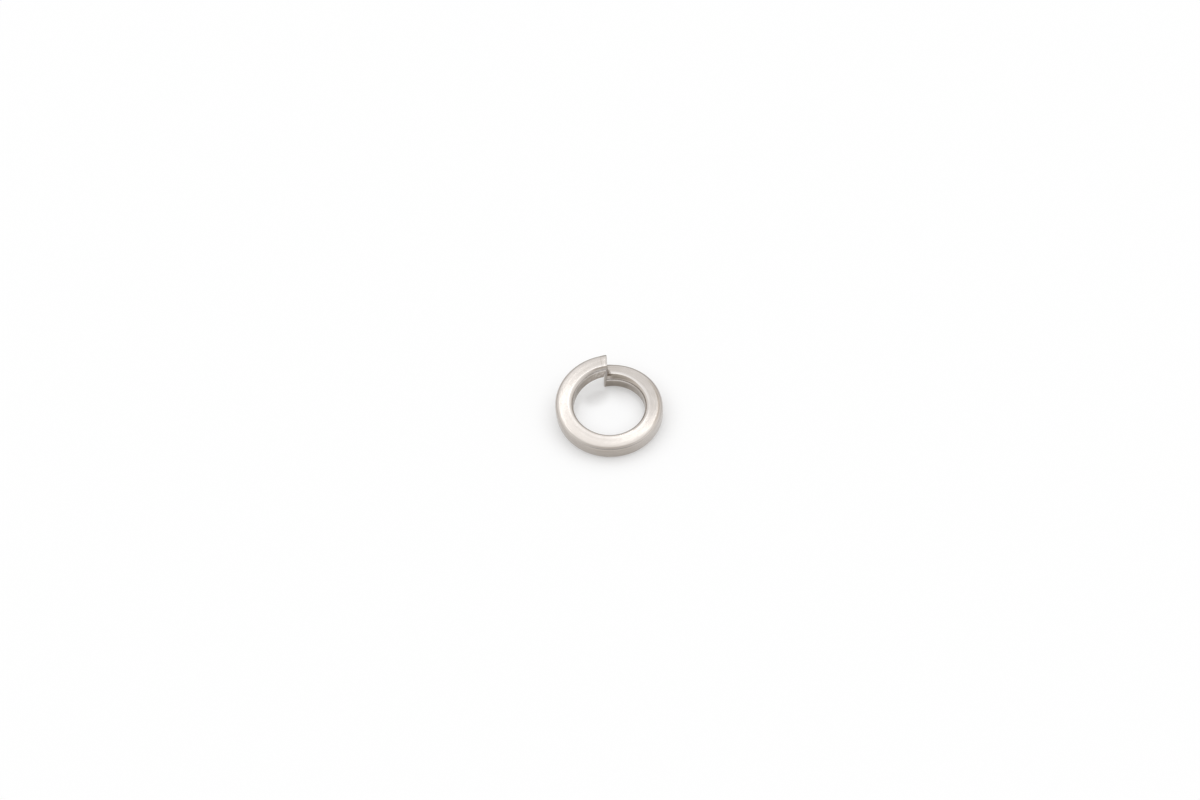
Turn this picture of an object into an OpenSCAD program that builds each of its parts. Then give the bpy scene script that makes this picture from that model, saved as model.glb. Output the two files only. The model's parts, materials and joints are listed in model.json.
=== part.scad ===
// Spring lock washer for a 6 mm bolt.
//
// One length of square spring wire is coiled one turn into a left-hand helix and cut through on
// a slant. The seated end lies just right of the cut, at the bottom, and the free end just left
// of it, at the top, so each end has a sharp edge that bites when the nut or bolt turns back.
//
// The bore runs up the Z axis, the seated end starts at z = 0 and the cut faces +Y.

/* [Bolt] */
// Diameter of the bolt that the washer goes on
bolt_d = 6; // [3:0.5:24]
// How much wider the bore is than the bolt
bore_play = 0.2; // [0.1:0.05:0.8]

/* [Wire] */
// Width of the wire, from the bore to the outer wall
wire_w = 1.55; // [1:0.05:5]
// Thickness of the wire, along the bolt
wire_t = 1.55; // [1:0.05:5]
// Radius of the wire's four rounded edges
edge_r = 0.35; // [0.1:0.05:0.45]

/* [Coil] */
// How far the free end stands above the seated end
rise = 1.6; // [0.4:0.1:3]

/* [Cut] */
// Opening between the two cut ends
cut_gap = 0.04; // [0.04:0.02:0.8]
// Lean of the cut from the bolt's direction, in degrees
cut_lean = 14; // [0:1:20]
// Turn of the cut from straight across the wire, in degrees
cut_skew = 3; // [0:1:6]

/* [Hidden] */
$fn = 180;
steel = [0.74, 0.72, 0.69];

bore_r = (bolt_d + bore_play) / 2;
outer_r = bore_r + wire_w;
middle_r = bore_r + wire_w / 2;

// The coiled wire is swept through a ring of cross-sections, a few degrees apart. Each rounded
// edge has a few flats, and the last one runs on past the round wall that trims it.
turn = 360;
sections = 72;
edge_flats = 4;
flat_angle = 90 / edge_flats;
chord_sag = outer_r * (1 - cos(turn / sections / 2));
trim = chord_sag + edge_r / 10;

// A rounded edge as flats around a quarter circle, from the wire's top face at 90 degrees down
// and out through its side wall. Points are [outwards from the side wall, up from the
// mid-thickness].
rounded_edge = let (
        middle = [-edge_r, wire_t / 2 - edge_r],
        corner_r = edge_r / cos(flat_angle / 2),
        meets_wall = middle + corner_r * [cos(flat_angle / 2), sin(flat_angle / 2)]
    )
    [
        for (i = [0 : edge_flats - 2])
            let (a = 90 - (i + 0.5) * flat_angle)
            middle + corner_r * [cos(a), sin(a)],
        meets_wall + trim * [1, -1 / tan(flat_angle)]
    ];

upper_outer = [for (p = rounded_edge) [outer_r + p.x, p.y]];
upper_inner = [for (p = rounded_edge) [bore_r - p.x, p.y]];

function reversed(list) = [for (i = [len(list) - 1 : -1 : 0]) list[i]];
function below(list) = [for (p = list) [p.x, -p.y]];

// The whole cross-section, as [distance from the bolt's axis, height from mid-thickness]
wire_section = concat(
    upper_outer,
    reversed(below(upper_outer)),
    below(upper_inner),
    reversed(upper_inner)
);

// Bearing of the cut at a point of the cross-section: clockwise from +Y, seen from above. The cut
// is a flat plane, which passes +Y at the middle of the wire's width.
function cut_bearing(p, side) =
    let (across = side * cut_gap / 2 + p.y * tan(cut_lean))
    cut_skew + asin((across * cos(cut_skew) - middle_r * sin(cut_skew)) / p.x);

// Place of a point of the cross-section, at a share of the way along the wire
function on_coil(p, share) =
    let (
        from = cut_bearing(p, 1),
        to = turn + cut_bearing(p, -1),
        bearing = from + (to - from) * share
    )
    [p.x * sin(bearing), p.x * cos(bearing), wire_t / 2 + p.y + rise * share];

// The wire after coiling, with its edges rounded and its ends cut, and still too wide at the bore
// and the outer wall by the trim
module coiled_wire() {
    count = len(wire_section);
    points = [
        for (i = [0 : sections])
            for (p = wire_section)
                on_coil(p, i / sections)
    ];
    skin = [
        for (i = [0 : sections - 1])
            for (j = [0 : count - 1])
                let (k = (j + 1) % count, here = i * count, next = here + count)
                [here + j, next + j, next + k, here + k]
    ];
    seated_end = [for (j = [0 : count - 1]) j];
    free_end = [for (j = [count - 1 : -1 : 0]) sections * count + j];
    polyhedron(points, concat(skin, [seated_end, free_end]));
}

// The round walls: everything between the bore and the outside
module round_walls() {
    spare = wire_t;
    height = rise + wire_t + 2 * spare;
    translate([0, 0, -spare])
        difference() {
            cylinder(r = outer_r, h = height);
            translate([0, 0, -spare])
                cylinder(r = bore_r, h = height + 2 * spare);
        }
}

module washer() {
    color(steel)
        intersection() {
            round_walls();
            coiled_wire();
        }
}

washer();
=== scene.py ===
import json
import math

import bmesh
import bpy
from mathutils import Matrix, Vector
from mathutils.bvhtree import BVHTree


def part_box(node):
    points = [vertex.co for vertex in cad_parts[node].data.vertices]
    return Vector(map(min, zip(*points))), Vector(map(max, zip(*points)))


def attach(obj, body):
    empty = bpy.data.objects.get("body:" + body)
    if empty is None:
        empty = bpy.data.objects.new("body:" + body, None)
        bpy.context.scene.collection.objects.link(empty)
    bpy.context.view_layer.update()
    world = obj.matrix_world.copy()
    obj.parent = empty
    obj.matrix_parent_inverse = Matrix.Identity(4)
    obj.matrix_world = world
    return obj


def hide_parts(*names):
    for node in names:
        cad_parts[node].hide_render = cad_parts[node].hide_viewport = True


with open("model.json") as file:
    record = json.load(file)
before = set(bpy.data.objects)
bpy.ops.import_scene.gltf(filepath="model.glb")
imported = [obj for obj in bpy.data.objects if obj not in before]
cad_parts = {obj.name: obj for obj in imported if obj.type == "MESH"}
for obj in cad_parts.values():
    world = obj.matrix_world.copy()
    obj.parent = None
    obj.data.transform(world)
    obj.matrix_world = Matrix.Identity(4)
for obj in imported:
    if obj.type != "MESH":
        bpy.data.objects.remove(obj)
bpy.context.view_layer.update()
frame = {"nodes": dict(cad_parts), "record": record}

MM = 0.001

# ---------------------------------------------------------------- sizes
low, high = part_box("washer")
bore_mount = next(m for m in frame["record"]["mounts"] if m["kind"] == "bore")
bore_radius = bore_mount["dims"]["r_mm"] * MM
outer_radius = high.x
wire_width = outer_radius - bore_radius
wire_thickness = 1.55 * MM
WIRE_LENGTH = (bore_radius + wire_width / 2) * math.tau / MM  # along its middle, in millimetres
rise = high.z - low.z - wire_thickness
cut_gap = 0.04 * MM
cut_lean, cut_skew = math.radians(14), math.radians(3)
seated_reach, seated_skew = 0.10 * MM, math.radians(5)  # the seated end reaches a little under the free one

# roundings of the wire's edges
outer_edge, inner_edge = 0.32 * MM, 0.33 * MM  # the upper two
inner_edge_opposite = 0.20 * MM                # the inner one is tighter opposite the cut
outer_foot, inner_foot = 0.38 * MM, 0.33 * MM  # the lower two

# the flank that coiling leaves beside the bore, at the seated end
flank_width, flank_slope = 0.47 * MM, math.radians(16)
NARROW_FLANK = 0.66    # its width further on, as a share of that
FREE_END_FLANK = 0.6   # its depth at the free end, as a share of that at the seated end

# changes along the wire, as shares of its length from the seated end: where each is nothing, and where whole
OPPOSITE_BEGINS, OPPOSITE_ENDS = (0.28, 0.44), (0.74, 0.58)
FLANK_NARROWS, FLANK_FADES, FLANK_RETURNS = (0.03, 0.13), (0.14, 0.30), (0.90, 0.96)
# and near each cut, in millimetres from it
RIDGE_PLACE, RIDGE_WIDTH = 0.31, 0.13
BULGE_LENGTH = 0.6

STEPS_AROUND = 140    # round the wire's section
STEPS_ALONG = 600     # along the wire, from cut to cut
STEP_BUNCHING = 0.85  # how far these gather near the cuts, from 0 to 1
FILLET_STEPS = 24     # round each rounding of the section
LIP_RINGS = 8         # over the small rounding at the cut's edge
FACE_RINGS = 11       # from there to the middle of the cut face
JOIN_DISTANCE = 0.0002 * MM  # points closer than this become one


# ---------------------------------------------------------------- node writing
class Lead:
    """One socket of a node tree. Arithmetic on leads adds Math nodes; add() adds any other node."""

    def __init__(self, tree, socket=None):
        self.tree, self.socket = tree, socket

    def add(self, kind, settings=None, sockets=None, out=None):
        """A new node with these settings and inputs. The lead is its first output, or the one named."""
        node = self.tree.nodes.new(kind)
        for name, value in (settings or {}).items():
            if name == "stops":
                self._stops(node.color_ramp, value)
            else:
                setattr(node, name, value)
        for name, value in (sockets or {}).items():
            self._plug(self._pick(node.inputs, name), value)
        return Lead(self.tree, self._pick(node.outputs, out))

    def out(self, name):
        """Another output of the node that this lead comes from."""
        return Lead(self.tree, self._pick(self.socket.node.outputs, name))

    @staticmethod
    def _pick(sockets, name):
        if isinstance(name, int):
            return sockets[name]
        return next(s for s in sockets if s.enabled and name in (None, s.name))

    def _plug(self, socket, value):
        if isinstance(value, Lead):
            self.tree.links.new(value.socket, socket)
        elif value is not None:
            socket.default_value = value

    @staticmethod
    def _stops(ramp, stops):
        while len(ramp.elements) > 1:
            ramp.elements.remove(ramp.elements[-1])
        for i, (place, colour) in enumerate(stops):
            stop = ramp.elements[0] if i == 0 else ramp.elements.new(place)
            stop.position, stop.color = place, colour

    def math(self, operation, *values):
        return self.add("ShaderNodeMath", {"operation": operation}, dict(enumerate(values)))

    def __add__(self, other): return self.math("ADD", self, other)
    def __radd__(self, other): return self.math("ADD", other, self)
    def __sub__(self, other): return self.math("SUBTRACT", self, other)
    def __rsub__(self, other): return self.math("SUBTRACT", other, self)
    def __mul__(self, other): return self.math("MULTIPLY", self, other)
    def __truediv__(self, other): return self.math("DIVIDE", self, other)
    def __pow__(self, other): return self.math("POWER", self, other)
    def __neg__(self): return self.math("MULTIPLY", self, -1.0)
    def __abs__(self): return self.math("ABSOLUTE", self)

    def at_least(self, other): return self.math("MAXIMUM", self, other)
    def at_most(self, other): return self.math("MINIMUM", self, other)

    def ramp(self, start, end, first=0.0, last=1.0):
        """Smooth change from first at start to last at end."""
        return self.add("ShaderNodeMapRange", {"interpolation_type": "SMOOTHSTEP"},
                        {"Value": self, "From Min": start, "From Max": end,
                         "To Min": first, "To Max": last})

    def hump(self, centre, width):
        """1 at centre, falling smoothly to 0 at width to either side."""
        return abs(self - centre).ramp(0.0, width, 1.0, 0.0)

    def parts(self):
        """The three parts of a vector."""
        split = self.add("ShaderNodeSeparateXYZ", sockets={"Vector": self})
        return split, split.out("Y"), split.out("Z")

    def vector(self, x, y, z):
        return self.add("ShaderNodeCombineXYZ", sockets={"X": x, "Y": y, "Z": z})

    def vector_math(self, operation, *values):
        return self.add("ShaderNodeVectorMath", {"operation": operation}, dict(enumerate(values)))

    def grain(self, place, scale=1.0, detail=2.0, roughness=0.5):
        """Noise about 0, roughly from -0.5 to 0.5, at a place given in millimetres."""
        noise = self.add("ShaderNodeTexNoise", {"noise_dimensions": "3D"},
                         {"Vector": place, "Scale": scale, "Detail": detail, "Roughness": roughness})
        return noise - 0.5

    def mix(self, share, first, second, kind="FLOAT"):
        return self.add("ShaderNodeMix", {"data_type": kind}, {"Factor": share, "A": first, "B": second})


# ---------------------------------------------------------------- the coiled wire
def coil_tree(name):
    """Geometry nodes for one turn of wire: a grid wrapped round its section, coiled and closed at the cuts.

    Distances are in metres, and places on the wire are kept in millimetres for its look."""
    tree = bpy.data.node_groups.new(name, "GeometryNodeTree")
    tree.interface.new_socket("Geometry", in_out="OUTPUT", socket_type="NodeSocketGeometry")

    for label in ("Bore radius", "Wire width", "Wire thickness", "Outer edge", "Inner edge",
                  "Inner edge opposite", "Outer foot", "Inner foot", "Flank width", "Flank slope", "Crown",
                  "Rise", "Cut gap", "Cut lean", "Cut skew", "Seated reach", "Seated skew",
                  "Cut edge radius", "Roll-over", "Burr edge", "Cut ridge", "Cut bulge", "Waviness",
                  "Draw lines", "Break relief"):
        tree.interface.new_socket(label, in_out="INPUT", socket_type="NodeSocketFloat")
    tree.interface.new_socket("Steel", in_out="INPUT", socket_type="NodeSocketMaterial")
    bench = Lead(tree)
    given = bench.add("NodeGroupInput")
    bore, width, thick = given.out("Bore radius"), given.out("Wire width"), given.out("Wire thickness")

    rings = LIP_RINGS + FACE_RINGS
    rows = STEPS_ALONG + 2 * rings
    grid = bench.add("GeometryNodeMeshGrid", sockets={
        "Size X": 1.0, "Size Y": 1.0, "Vertices X": STEPS_AROUND + 1, "Vertices Y": rows + 1})
    across_grid, along_grid, _ = bench.add("GeometryNodeInputPosition").parts()
    row = along_grid.math("ROUND", (along_grid + 0.5) * rows)

    # along the wire: closer steps near the cuts
    even = ((row - rings) / STEPS_ALONG).at_least(0.0).at_most(1.0)
    share = even - even.math("SINE", even * math.tau) * (STEP_BUNCHING / math.tau)
    # over the cut: how far round the edge, and how far in towards the middle of the face
    ring = (rings - row).at_least(row - rings - STEPS_ALONG).at_least(0.0)
    on_face = (ring / LIP_RINGS).at_most(1.0)
    turn = on_face * (math.pi / 2)
    inward = ((ring - LIP_RINGS) / FACE_RINGS).at_least(0.0)

    # the section, with its rounded edges; the inner one is tighter opposite the cut
    corner_side, corner_up, _ = bench.add("GeometryNodeInputPosition").parts()
    is_outer = corner_side.math("GREATER_THAN", corner_side, 0.0)
    is_upper = corner_up.math("GREATER_THAN", corner_up, 0.0)

    def section(inner_radius):
        """A point of the section for each step round it; its Tangent output runs along the skin."""
        loop = bench.add("GeometryNodeCurvePrimitiveQuadrilateral", {"mode": "RECTANGLE"},
                         {"Width": width, "Height": thick})
        upper_radius = bench.mix(is_outer, inner_radius, given.out("Outer edge"))
        lower_radius = bench.mix(is_outer, given.out("Inner foot"), given.out("Outer foot"))
        loop = bench.add("GeometryNodeFilletCurve", {"mode": "POLY"},
                         {"Curve": loop, "Count": FILLET_STEPS, "Limit Radius": True,
                          "Radius": bench.mix(is_upper, lower_radius, upper_radius)})
        return bench.add("GeometryNodeSampleCurve", {"mode": "FACTOR"},
                         {"Curves": loop, "Factor": across_grid + 0.5}, out="Position")

    soft, tight = section(given.out("Inner edge")), section(given.out("Inner edge opposite"))
    opposite = share.ramp(*OPPOSITE_BEGINS) * share.ramp(*OPPOSITE_ENDS)
    side, up, _ = bench.mix(opposite, soft, tight, "VECTOR").parts()
    tangent = bench.mix(opposite, soft.out("Tangent"), tight.out("Tangent"), "VECTOR")
    tangent_side, tangent_up, _ = tangent.parts()

    # the small rounding where the section meets the cut: widest on the walls and below, tighter on top of
    # the free end, where a burr was worn down, and tightest on top of the seated end
    is_free = share.math("GREATER_THAN", share, 0.5)
    top_share = (up / thick).ramp(-0.1, 0.3)
    lip = bench.mix(top_share, given.out("Cut edge radius"),
                    bench.mix(is_free, given.out("Roll-over"), given.out("Burr edge")))
    inset = lip * (1.0 - turn.math("COSINE", turn))
    back = lip * (1.0 - turn.math("SINE", turn))
    shrink_side = (1.0 - inset / (width / 2)) * (1.0 - inward)
    shrink_up = (1.0 - inset / (thick / 2)) * (1.0 - inward)
    flat_side, flat_up = side * shrink_side, up * shrink_up

    # where a point is on the wire, in millimetres: along it, across it and up it
    length = (bore + width / 2) * math.tau
    place = bench.vector(share * length / MM, flat_side / MM, flat_up / MM)

    # waviness from coiling, and the lines that drawing leaves, both longer along the wire than across it
    along_mm, side_mm, up_mm = place.parts()
    wave_squeeze, line_squeeze = 0.35, 0.03
    wave = bench.grain(bench.vector(along_mm * wave_squeeze, side_mm, up_mm), scale=0.9, detail=1.0)
    drawn = bench.grain(bench.vector(along_mm * line_squeeze, side_mm, up_mm), scale=2.6, detail=2.0)
    swell = (wave * given.out("Waviness") + drawn * given.out("Draw lines")) * (1.0 - on_face)
    # the faces are a little crowned on their outer half
    to_middle = flat_side / (width / 2)
    to_top = flat_up / (thick / 2)
    crown = given.out("Crown") * to_middle.at_least(0.0) ** 4.0 * to_top
    # the flank beside the bore is there near the cut, and fades out round the ring
    flank_here = given.out("Flank width") * share.ramp(*FLANK_NARROWS, 1.0, NARROW_FLANK)
    past_crease = (flank_here - width / 2 - flat_side).at_least(0.0)
    flanked = share.ramp(*FLANK_FADES, 1.0, 0.0) + share.ramp(*FLANK_RETURNS, 0.0, FREE_END_FLANK)
    flank = (past_crease * given.out("Flank slope").math("TANGENT", given.out("Flank slope"))
             * to_top.at_least(0.0) * flanked)
    # the shears raise a ridge on top just before the free end, and spread both ends outwards
    from_cut = (share.at_most(1.0 - share) * length + back) / MM
    ridge = (given.out("Cut ridge") * from_cut.hump(RIDGE_PLACE, RIDGE_WIDTH) * to_top.ramp(0.6, 1.0)
             * (1.0 - on_face) * is_free)
    bulge = given.out("Cut bulge") * from_cut.ramp(0.0, BULGE_LENGTH, 1.0, 0.0) * to_middle.ramp(0.3, 1.0)
    side_now = flat_side + tangent_up * swell + bulge
    up_now = flat_up - tangent_side * swell - crown - flank + ridge

    # where each end stops: leaning and turned cuts, rough where the metal tore
    broken = bench.grain(place, scale=3.0, detail=3.0, roughness=0.6) * given.out("Break relief") * on_face
    setback = back + broken + given.out("Cut gap") / 2
    radius = bore + width / 2 + side_now
    lean = up_now * given.out("Cut lean").math("TANGENT", given.out("Cut lean"))
    skew = lean + side_now * given.out("Cut skew").math("TANGENT", given.out("Cut skew"))
    seated = (lean + side_now * given.out("Seated skew").math("TANGENT", given.out("Seated skew"))
              + setback - given.out("Seated reach"))
    start = seated.math("ARCSINE", seated / radius)
    stop = skew.math("ARCSINE", (skew - setback) / radius) + math.tau
    bearing = bench.mix(share, start, stop)
    height = thick / 2 + up_now + given.out("Rise") * share
    there = bench.vector(radius * bearing.math("SINE", bearing), radius * bearing.math("COSINE", bearing),
                         height)

    mesh = bench.add("GeometryNodeStoreNamedAttribute", {"data_type": "FLOAT_VECTOR", "domain": "POINT"},
                     {"Geometry": grid, "Name": "wire", "Value": place})
    mesh = bench.add("GeometryNodeStoreNamedAttribute", {"data_type": "FLOAT", "domain": "POINT"},
                     {"Geometry": mesh, "Name": "cut", "Value": on_face})
    mesh = bench.add("GeometryNodeSetPosition", sockets={"Geometry": mesh, "Position": there})
    mesh = bench.add("GeometryNodeMergeByDistance", sockets={"Geometry": mesh, "Distance": JOIN_DISTANCE})
    mesh = bench.add("GeometryNodeSetShadeSmooth", sockets={"Geometry": mesh})
    mesh = bench.add("GeometryNodeRealizeInstances", sockets={"Geometry": mesh})
    mesh = bench.add("GeometryNodeSetMaterial", sockets={"Geometry": mesh, "Material": given.out("Steel")})
    end = tree.nodes.new("NodeGroupOutput")
    tree.links.new(mesh.socket, end.inputs[0])
    return tree


def made_by(tree, name, values):
    """A plain mesh object from a geometry tree and the values of its named inputs."""
    holder = bpy.data.objects.new(name, bpy.data.meshes.new(name))
    bpy.context.scene.collection.objects.link(holder)
    maker = holder.modifiers.new("maker", "NODES")
    maker.node_group = tree
    for item in tree.interface.items_tree:
        if item.in_out == "INPUT":
            maker[item.identifier] = values[item.name]
    holder.update_tag()
    depsgraph = bpy.context.evaluated_depsgraph_get()
    plain = bpy.data.meshes.new_from_object(holder.evaluated_get(depsgraph), preserve_all_data_layers=True,
                                            depsgraph=depsgraph)
    holder.modifiers.remove(maker)
    finishes = [m for m in plain.materials if m]
    plain.materials.clear()
    for finish in finishes:
        plain.materials.append(finish)
    plain.polygons.foreach_set("material_index", [0] * len(plain.polygons))
    holder.data = plain
    plain.name = name
    return holder


# ---------------------------------------------------------------- steel
# the colours that the steel's brightness runs through: the lower two stand for both its dull finish and
# painted shade, the top one also for painted highlights
DULL_AND_SHADED_BROWN = (0.150, 0.129, 0.101, 1)
WORN_AND_SHADED_GREY = (0.403, 0.358, 0.315, 1)
BRIGHT = (0.774, 0.741, 0.717, 1)
WALL = (0.68, 0.765)  # where the look of a wall sets in, in millimetres out from the wire's middle


def washer_steel():
    """Bright drawn steel: less bright and browner on the walls, with painted highlights on the rims of the
    faces and a painted sheen on the inner wall, and painted shade in the corners, along the outer shoulder
    and beside the cuts.
    """
    material = bpy.data.materials.new("drawn_steel")
    material.use_nodes = True
    tree = material.node_tree
    tree.nodes.clear()
    bench = Lead(tree)
    place = bench.add("ShaderNodeAttribute", {"attribute_name": "wire"}, out="Vector")
    # millimetres: along from the seated end, side outwards and up from the wire's middle
    along, side, up = place.parts()
    cut = bench.add("ShaderNodeAttribute", {"attribute_name": "cut"}, out="Fac")

    # marks of drawing, which run along the wire, and of coiling and handling
    streaks = bench.grain(bench.vector(along * 0.05, side, up), scale=13.0, detail=4.0, roughness=0.6)
    bands = bench.grain(bench.vector(along * 0.03, side, up), scale=3.2, detail=2.0)
    blotches = bench.grain(place, scale=1.5, detail=3.0)
    pits = bench.grain(place, scale=20.0, detail=3.0, roughness=0.7)
    mottle = bench.grain(place, scale=4.0, detail=2.0)

    # where along the wire
    near_seated = along.ramp(1.6, 3.8, 1.0, 0.0)
    near_flank = along.ramp(1.5, 4.4, 1.0, 0.0)
    seated_side = along.ramp(3.0, 7.0, 1.0, 0.0)
    seated_tip = along.ramp(0.7, 0.2)
    from_free = WIRE_LENGTH - along
    near_free = along.ramp(WIRE_LENGTH - 3.5, WIRE_LENGTH - 0.4)
    free_tip = along.ramp(WIRE_LENGTH - 2.0, WIRE_LENGTH - 0.8)
    front = along.hump(WIRE_LENGTH * 0.5, 2.6)
    front_right = along.hump(WIRE_LENGTH * 0.35, 2.8)
    left_back = along.hump(WIRE_LENGTH * 0.87, 2.6)

    # where on the section
    face = abs(up).ramp(0.58, 0.70)
    past_crease = along.ramp(0.7, 3.8, -0.31, -0.465) - side
    inner_rim = past_crease.ramp(-0.30, -0.06) * past_crease.ramp(0.03, -0.02) * face
    past_flank = past_crease - along.ramp(1.0, 3.4, 0.38, 0.22)
    inner_flank = past_crease.ramp(-0.01, 0.04) * past_flank.ramp(0.0, -0.12) * up.ramp(0.40, 0.52)
    inner_corner = side.ramp(-0.52, -0.66) * up.ramp(0.35, 0.50)
    outer_line = side.hump(0.60, 0.10) * up.ramp(0.45, 0.55)
    outer_face = side.ramp(0.25, 0.55) * face
    outer_wall = side.ramp(*WALL)
    inner_wall = (-side).ramp(*WALL) * up.ramp(0.52, 0.40)
    # a band across the inner wall, for a painted sheen
    wall_sheen = up.hump(0.50, 0.26) * side.ramp(-0.58, -0.68)
    # a line along the outer half of the face on the right, for painted shade
    painted_shade_line = side.hump(0.45, 0.17) * face * along.ramp(3.0, 5.5) * along.ramp(8.6, 7.4)

    # how bright the steel looks, from 0 for dull and brown to 1 for bright: the face, and what each place
    # changes. It mixes the steel's own finish with painted highlights and painted shade
    face_polish = 0.76
    # painted highlights: a bright line along the inner rim of the face, and a painted sheen across the inner
    # wall
    painted_highlights = inner_rim * (0.08 + seated_side * 0.16 + near_free * 0.12)
    painted_highlights = painted_highlights + wall_sheen * (0.10 + near_seated * along.ramp(0.1, 0.9) * 0.24 + free_tip * 0.1)
    # painted shade: a dark line along the outer shoulder, deepest near the free end
    dulling_and_painted_shade = outer_line * (0.10 + seated_side * 0.12 + from_free.ramp(0.5, 0.2) * 0.4)
    # the walls' own dull, browner finish; on the outer wall, painted shade darkens it a little at the front
    # and painted light lightens it at the front right
    dulling_and_painted_shade = dulling_and_painted_shade + outer_wall * (0.13 + front * 0.05 - front_right * 0.09)
    # painted shade on the outer half of the face at the front, and in a dark line on the right
    dulling_and_painted_shade = dulling_and_painted_shade + outer_face * front * 0.12 + painted_shade_line * 0.26
    dulling_and_painted_shade = dulling_and_painted_shade + inner_flank * (near_flank * 0.34 + seated_side * 0.10 + free_tip * 0.30)
    # painted shade in the corner between the flank and the inner wall, less at the back left, at the free
    # end and at the seated tip
    dulling_and_painted_shade = dulling_and_painted_shade + inner_corner * (0.20 + near_seated * 0.06 - left_back * 0.15 - free_tip * 0.14
                                      - seated_tip * 0.25)
    dulling_and_painted_shade = dulling_and_painted_shade + inner_wall * (0.34 + near_seated * 0.10 - near_free * 0.08)
    marks = streaks * (0.14 + near_seated * 0.10) + bands * 0.14
    marks = marks + blotches * (0.08 + inner_wall * 0.2) + mottle * inner_wall * near_free * 0.9
    # beside the cuts: painted shade on the seated end's face, where the free end hangs over it, a darker
    # band across the free end's face just past its ridge, and a painted sheen on the flank at the seated end
    darker_by_cuts = (along.ramp(0.22, 0.0) * (1.0 - inner_flank) * 0.06 + along.ramp(1.8, 0.2) * 0.06
             + from_free.hump(0.43, 0.09) * 0.08) * face
    # painted sheen on the flank right at the seated end's cut, with the rim's painted highlight a little
    # less there
    painted_sheen_at_cuts = along.ramp(0.45, 0.10) * (inner_flank * 0.14 - inner_rim * 0.05)
    painted_sheen_at_cuts = painted_sheen_at_cuts + seated_tip * past_crease.ramp(0.10, 0.22) * inner_flank * 0.20
    polish_and_painted_light = face_polish + painted_highlights - dulling_and_painted_shade + marks - darker_by_cuts + painted_sheen_at_cuts

    # the cut faces: darker on top where the shears cut, and, on the seated end, painted shade there for the
    # narrow crevice under the free end; lighter where they tore lower down
    scores = bench.grain(bench.vector(along, side, up * 0.15), scale=9.0)
    cut_face_shear_and_shade = 0.40 + up.ramp(0.2, -0.4) * 0.28 + scores * 0.3
    polish_and_painted_light = bench.mix(cut.ramp(0.1, 0.6), polish_and_painted_light, cut_face_shear_and_shade)
    colour = bench.add("ShaderNodeValToRGB", {"stops": [(0.0, DULL_AND_SHADED_BROWN), (0.5, WORN_AND_SHADED_GREY), (1.0, BRIGHT)]},
                       {"Fac": polish_and_painted_light}, out="Color")
    roughness = 0.135 + streaks * 0.06 + bands * 0.05 + inner_wall * 0.10 + outer_wall * 0.05 + cut * 0.35
    height = streaks * 0.5 + pits * 0.35
    bump = bench.add("ShaderNodeBump", sockets={"Strength": 0.5, "Distance": 0.01 * MM, "Height": height})
    steel = bench.add("ShaderNodeBsdfPrincipled", sockets={
        "Base Color": colour, "Metallic": 1.0 - cut * 0.5, "Roughness": roughness, "Normal": bump})
    end = tree.nodes.new("ShaderNodeOutputMaterial")
    tree.links.new(steel.socket, end.inputs["Surface"])
    return material


steel = washer_steel()
washer = made_by(coil_tree("coiled_wire"), "washer_wire", {
    "Bore radius": bore_radius,
    "Wire width": wire_width,
    "Wire thickness": wire_thickness,
    "Outer edge": outer_edge,
    "Inner edge": inner_edge,
    "Inner edge opposite": inner_edge_opposite,
    "Outer foot": outer_foot,
    "Inner foot": inner_foot,
    "Flank width": flank_width,
    "Flank slope": flank_slope,
    "Rise": rise,
    "Cut gap": cut_gap,
    "Cut lean": cut_lean,
    "Cut skew": cut_skew,
    "Seated reach": seated_reach,
    "Seated skew": seated_skew,
    "Cut edge radius": 0.12 * MM,
    "Roll-over": 0.04 * MM,
    "Burr edge": 0.07 * MM,
    "Crown": 0.05 * MM,
    "Cut ridge": 0.006 * MM,
    "Cut bulge": 0.04 * MM,
    "Waviness": 0.012 * MM,
    "Draw lines": 0.006 * MM,
    "Break relief": 0.03 * MM,
    "Steel": steel,
})
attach(washer, "root")
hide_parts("washer")


# ---------------------------------------------------------------- how it lies
TIPS = 8  # more turns onto another face of its hull than it ever needs


def resting_plane(solid):
    """Normal of the plane that the washer lies on, and that plane's height on the bore's axis."""
    whole = bmesh.new()
    whole.from_mesh(solid.data)
    bmesh.ops.remove_doubles(whole, verts=whole.verts, dist=0.0001 * MM)
    bmesh.ops.triangulate(whole, faces=whole.faces)
    volume, middle = 0.0, Vector()
    for face in whole.faces:
        a, b, c = (v.co for v in face.verts)
        piece = a.dot(b.cross(c)) / 6
        volume += piece
        middle += (a + b + c) / 4 * piece
    middle /= volume
    hull = bmesh.new()
    for vert in whole.verts:
        hull.verts.new(vert.co)
    bmesh.ops.convex_hull(hull, input=hull.verts, use_existing_faces=False)
    hull.normal_update()
    tree = BVHTree.FromBMesh(hull)
    down = Vector((0, 0, -1))
    for _ in range(TIPS):  # it tips until the point under its middle is on the face that touches
        touch, normal, _face, _far = tree.ray_cast(middle, down)
        down = normal if normal.dot(down) > 0 else -normal
    whole.free()
    hull.free()
    up = -down
    return up, touch.dot(up) / up.z


floor_up, floor_height = resting_plane(frame["nodes"]["washer"])
to_floor = floor_up.rotation_difference(Vector((0, 0, 1))).to_matrix()
from_floor = to_floor.inverted()
floor_point = Vector((0, 0, floor_height))


def over_floor(x, y, z):
    """A point given from the floor under the bore's axis, in the part's own frame."""
    return floor_point + from_floor @ Vector((x, y, z))


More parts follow.
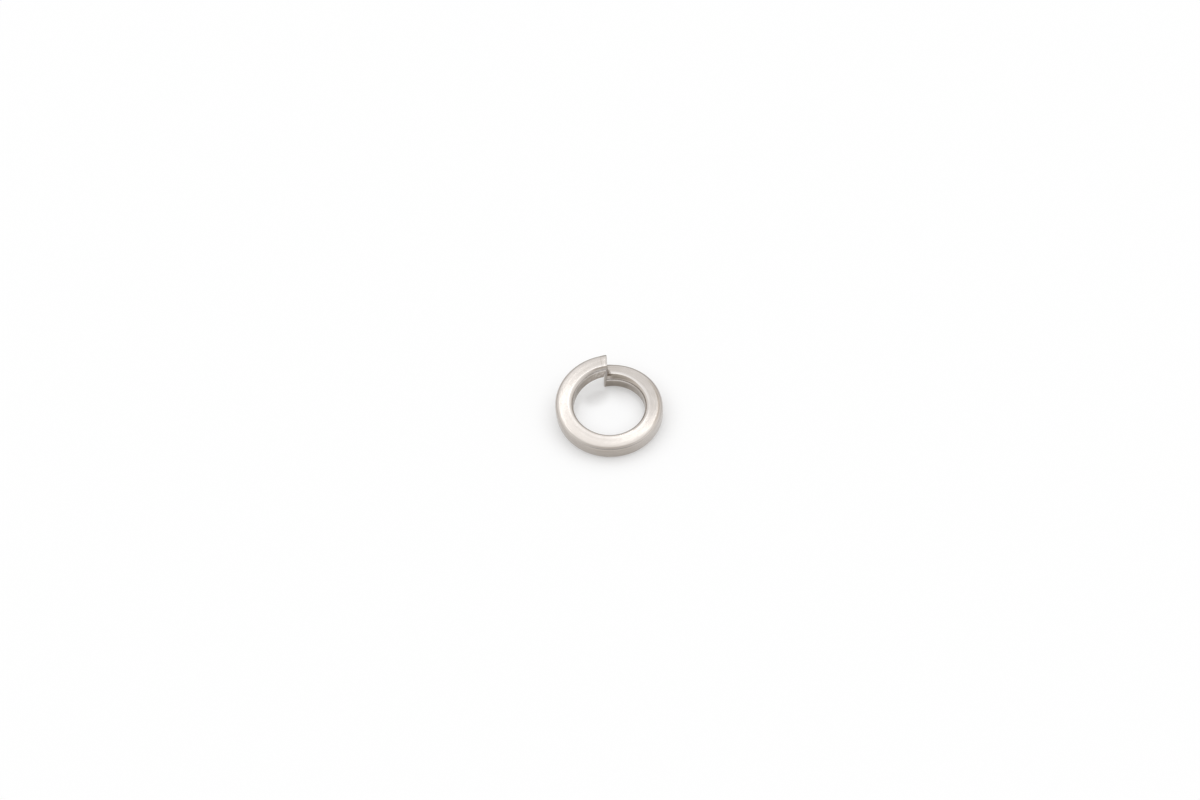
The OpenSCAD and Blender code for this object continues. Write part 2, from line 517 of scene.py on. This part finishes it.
# ---------------------------------------------------------------- floor
def floor_material():
    material = bpy.data.materials.new("white_sheet")
    material.use_nodes = True
    tree = material.node_tree
    tree.nodes.clear()
    bench = Lead(tree)
    paper = bench.add("ShaderNodeBsdfDiffuse", sockets={"Color": (0.92, 0.92, 0.92, 1)})
    white = bench.add("ShaderNodeEmission", sockets={"Color": (1, 1, 1, 1), "Strength": 1.0})
    ray = bench.add("ShaderNodeLightPath", out="Is Camera Ray")
    seen = (ray + ray.out("Is Glossy Ray") + ray.out("Is Transmission Ray")).at_most(1.0)
    # less of its own white close to the washer, so that the shadow holds there
    close_white, far_white, fade = 0.25, 0.75, 2.2 * MM
    away, ahead, _ = bench.add("ShaderNodeTexCoord", out="Object").parts()
    middle = (bore_radius + outer_radius) / 2
    distance = abs((away * away + ahead * ahead) ** 0.5 - middle) - wire_width / 2
    share = distance.ramp(0.0, fade, close_white, far_white)
    # a little more inside the bore, and more again at its two sides, which paints the shade there lighter,
    # but less in the free end's shadow, which paints that shadow deeper
    in_bore = (away * away + ahead * ahead).ramp((3.1 * MM) ** 2, (2.7 * MM) ** 2)
    at_sides = abs(away).ramp(0.8 * MM, 2.4 * MM)
    shadow_right, shadow_back = -1.2 * MM, 2.3 * MM
    from_shadow = ((away - shadow_right) ** 2.0 + (ahead - shadow_back) ** 2.0) ** 0.5
    in_shadow = from_shadow.ramp(1.6 * MM, 0.6 * MM)
    share = share + in_bore * (0.08 + at_sides * 0.16 - in_shadow * 0.40)
    sheet = bench.add("ShaderNodeMixShader", sockets={0: seen * share, 1: paper, 2: white})
    end = tree.nodes.new("ShaderNodeOutputMaterial")
    tree.links.new(sheet.socket, end.inputs["Surface"])
    return material


FLOOR_RADIUS = 3.0  # metres, far past the picture's edge
sheet = bmesh.new()
bmesh.ops.create_circle(sheet, cap_ends=True, segments=96, radius=FLOOR_RADIUS)
floor_mesh = bpy.data.meshes.new("floor")
sheet.to_mesh(floor_mesh)
sheet.free()
floor = bpy.data.objects.new("floor", floor_mesh)
bpy.context.scene.collection.objects.link(floor)
floor_mesh.transform(Matrix.Translation(floor_point) @ from_floor.to_4x4())
floor_mesh.materials.append(floor_material())

# ---------------------------------------------------------------- camera
VIEW_TURN, VIEW_HEIGHT = math.radians(-4.15), math.radians(51.82)
VIEW_DISTANCE = 290.5 * MM
AIM_RIGHT, AIM_UP = -0.868 * MM, 1.376 * MM

camera = bpy.data.objects.new("camera", bpy.data.cameras.new("camera"))
bpy.context.scene.collection.objects.link(camera)
camera.data.sensor_width = 36
camera.data.lens = 100
camera.data.clip_start, camera.data.clip_end = 0.01, 20
toward = Vector((math.sin(VIEW_TURN) * math.cos(VIEW_HEIGHT), -math.cos(VIEW_TURN) * math.cos(VIEW_HEIGHT),
                 math.sin(VIEW_HEIGHT)))
right = Vector((math.cos(VIEW_TURN), math.sin(VIEW_TURN), 0))
upward = toward.cross(right)
place = toward * VIEW_DISTANCE + right * AIM_RIGHT + upward * AIM_UP
facing = Matrix((right, upward, toward)).transposed()
camera.matrix_world = Matrix.Translation(over_floor(*place)) @ (from_floor @ facing).to_4x4()
bpy.context.scene.camera = camera

# ---------------------------------------------------------------- light
# a plain pale surround, brighter overhead and to either side
world = bpy.data.worlds.new("studio")
bpy.context.scene.world = world
world.use_nodes = True
world.node_tree.nodes.clear()
sky = Lead(world.node_tree)
ahead = sky.add("ShaderNodeTexCoord", out="Generated")
sky_right = sky.vector_math("DOT_PRODUCT", ahead, tuple(from_floor @ Vector((1, 0, 0)))).out("Value")
sky_back = sky.vector_math("DOT_PRODUCT", ahead, tuple(from_floor @ Vector((0, 1, 0)))).out("Value")
sky_up = sky.vector_math("DOT_PRODUCT", ahead, tuple(floor_up)).out("Value")
horizon_level, high_level = 0.60, 1.06
climb = sky_up.ramp(0.0, 0.62, horizon_level, high_level)
more_straight_above = sky_up.ramp(0.90, 1.0) * 0.12
more_at_the_sides = abs(sky_right).ramp(0.3, 1.0) * 0.22
less_in_front = (-sky_back).ramp(0.1, 0.9) * 0.15
less_low_behind = sky_up.ramp(0.05, 0.50, 1.0, 0.0) * (sky_back + 0.3).ramp(0.0, 0.8) * 0.20
level = climb + more_straight_above + more_at_the_sides - less_in_front - less_low_behind
glow = sky.add("ShaderNodeBackground", sockets={"Color": (1, 1, 1, 1), "Strength": level})
end = world.node_tree.nodes.new("ShaderNodeOutputWorld")
world.node_tree.links.new(glow.socket, end.inputs["Surface"])


# the lamps' own directions, outward and along, and the strip's middle in them for a lamp one metre up
LAMP_TURN = math.radians(56.2)
LAMP_OUTWARD, LAMP_ALONG = 0.285, 0.266


def panel(name, near, far, start, stop, bright, height=1.0):
    """A level lamp over the floor that shows as that much extra brightness in the steel.

    It reaches from near to far outward of the strip's middle and from start to stop along it, when it is
    one metre up. Hung lower it is smaller and closer in, and covers the same part of the sky."""
    outward, along = LAMP_OUTWARD + (near + far) / 2, LAMP_ALONG + (start + stop) / 2
    to_right = along * math.cos(LAMP_TURN) - outward * math.sin(LAMP_TURN)
    to_back = along * math.sin(LAMP_TURN) + outward * math.cos(LAMP_TURN)
    lamp = bpy.data.lights.new(name, "AREA")
    lamp.shape, lamp.size, lamp.size_y = "RECTANGLE", (stop - start) * height, (far - near) * height
    lamp.energy = bright * math.pi * lamp.size * lamp.size_y
    holder = bpy.data.objects.new(name, lamp)
    bpy.context.scene.collection.objects.link(holder)
    holder.matrix_world = (Matrix.Translation(over_floor(to_right * height, to_back * height, height))
                           @ from_floor.to_4x4() @ Matrix.Rotation(LAMP_TURN, 4, "Z"))


# the strips hang a little lower than the lamps that they overlap, so that both show
panel("strip", -0.024, 0.021, -0.19, 0.14, 1.48, height=0.95)
panel("strip_end", -0.03, 0.030, 0.14, 0.30, 1.48, height=0.95)
panel("overhead", -0.22, 0.03, -0.12, 0.32, 0.30)
panel("side", -0.65, -0.22, -0.20, 0.36, 0.22)
panel("left", 0.05, 0.35, -0.50, 0.04, 0.25)

bpy.context.scene.view_settings.view_transform = "Standard"
